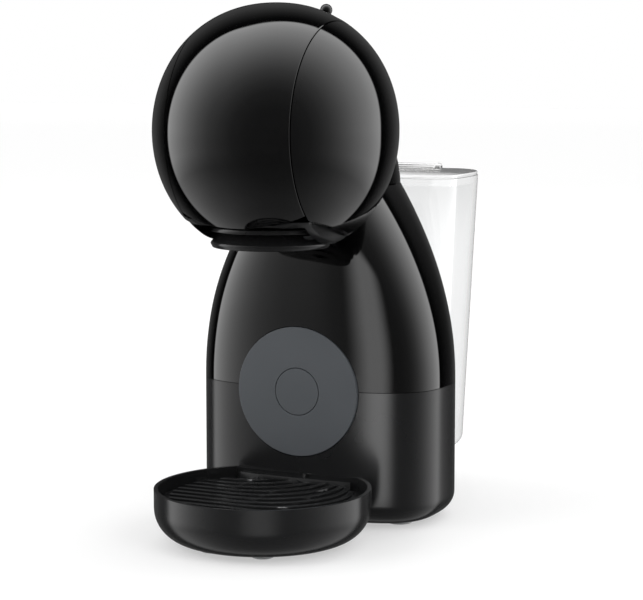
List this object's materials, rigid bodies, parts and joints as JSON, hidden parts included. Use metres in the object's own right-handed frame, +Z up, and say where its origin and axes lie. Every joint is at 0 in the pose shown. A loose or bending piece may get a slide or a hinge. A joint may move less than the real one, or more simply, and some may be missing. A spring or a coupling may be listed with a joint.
{
  "type": "pod coffee machine",
  "caption": "Pod coffee machine with a round black head, narrow column, hinged visor, sliding capsule holder, clear rear water tank and round drip tray.",
  "frame": {"origin": "under the middle of the machine's overall box, on the surface it stands on", "axes": "+Z is up, -Y is the machine's front where the cup stands, +X is to the right of a user who faces it"},
  "size_m": [0.143, 0.273, 0.287],
  "materials": {
    "gloss_black": "polished black moulded plastic",
    "satin_black": "satin black moulded plastic",
    "disc_grey": "flat cool grey plastic",
    "structure_plastic": "moulded structural plastic",
    "white_plastic": "plain moulded plastic",
    "board_green": "coated circuit board",
    "soft_tube": "milky flexible tube",
    "rubber": "soft black rubber",
    "clear_foot": "clear soft pad",
    "steel": "bright turned steel",
    "cast_alloy": "as-cast aluminium",
    "copper": "enamelled copper winding in a wrap",
    "clear_plastic": "clear moulded plastic"
  },
  "bodies": {
    "machine": {"base_plate": "satin_black", "base_feet": "clear_foot", "base_screws": "steel", "base_shell": "satin_black", "column_shell": "gloss_black", "neck_shell": "gloss_black", "front_disc": "disc_grey", "disc_cap": "disc_grey", "inner_frame": "structure_plastic", "head_cover_right": "gloss_black", "head_cover_left": "gloss_black", "head_rear_cover": "gloss_black", "jaw_frame": "satin_black", "jaw_screws": "steel", "hinge_pin": "steel", "carriage_guides": "steel", "selector_pin": "steel", "selector_valve": "structure_plastic", "button_ring": "satin_black", "power_switch": "structure_plastic", "tank_dock": "satin_black", "dock_feet": "rubber", "dock_seal": "rubber", "pump_body": "structure_plastic", "pump_coil": "copper", "pump_mounts": "rubber", "thermoblock": "cast_alloy", "thermostat": "white_plastic", "thermal_fuse": "white_plastic", "hose_tank_pump": "soft_tube", "hose_pump_heater": "soft_tube", "hose_heater_valve": "soft_tube", "circuit_board": "board_green", "board_standoffs": "white_plastic", "cord_gland": "satin_black"},
    "visor": {"visor_shell": "gloss_black", "visor_frame": "satin_black"},
    "needle_carriage": {"needle_plate": "satin_black", "needle": "steel", "needle_seal": "rubber", "needle_hose": "soft_tube"},
    "capsule_drawer": {"capsule_holder": "satin_black", "holder_nozzle": "satin_black"},
    "selector_lever": {"selector_knob": "gloss_black", "selector_arm": "satin_black"},
    "power_key": {"power_button": "disc_grey"},
    "tank": {"water_tank": "clear_plastic", "tank_valve": "disc_grey", "lid_pin": "steel"},
    "lid": {"tank_lid": "clear_plastic"},
    "tray": {"drip_tray": "satin_black", "tray_feet": "clear_foot"},
    "grid": {"drip_grid": "satin_black"}
  },
  "joints": [
    {"name": "visor_hinge", "type": "hinge", "parent": "machine", "child": "visor", "pos_m": [0, -0.047, 0.27964], "axis": [-1, 0, 0], "range_deg": [0, 50]},
    {"name": "carriage_lift", "type": "slide", "parent": "machine", "child": "needle_carriage", "axis": [0, 0, 1], "range_m": [0, 0.006]},
    {"name": "holder_slide", "type": "slide", "parent": "machine", "child": "capsule_drawer", "axis": [0, -1, 0], "range_m": [0, 0.055]},
    {"name": "lever_swing", "type": "hinge", "parent": "machine", "child": "selector_lever", "pos_m": [0, -0.0325, 0.2194], "axis": [0, -1, 0], "range_deg": [0, 28.4]},
    {"name": "power_press", "type": "slide", "parent": "machine", "child": "power_key", "axis": [0, -0.7071, -0.7071], "range_m": [0, 0.002], "stiffness_N_per_m": 600, "springref_m": -0.0004},
    {"name": "tank_lift", "type": "slide", "parent": "machine", "child": "tank", "axis": [0, 0, 1], "range_m": [0, 0.09]},
    {"name": "lid_hinge", "type": "hinge", "parent": "tank", "child": "lid", "pos_m": [0, 0.1335, 0.1911], "axis": [-1, 0, 0], "range_deg": [0, 100]},
    {"name": "tray_slide", "type": "slide", "parent": "machine", "child": "tray", "axis": [0, -1, 0], "range_m": [0, 0.09]},
    {"name": "grid_lift", "type": "slide", "parent": "tray", "child": "grid", "axis": [0, 0, 1], "range_m": [0, 0.03]}
  ],
  "couplings": [
    {"joint": "carriage_lift", "follows": "visor_hinge", "m_per_rad": 0.006869}
  ]
}
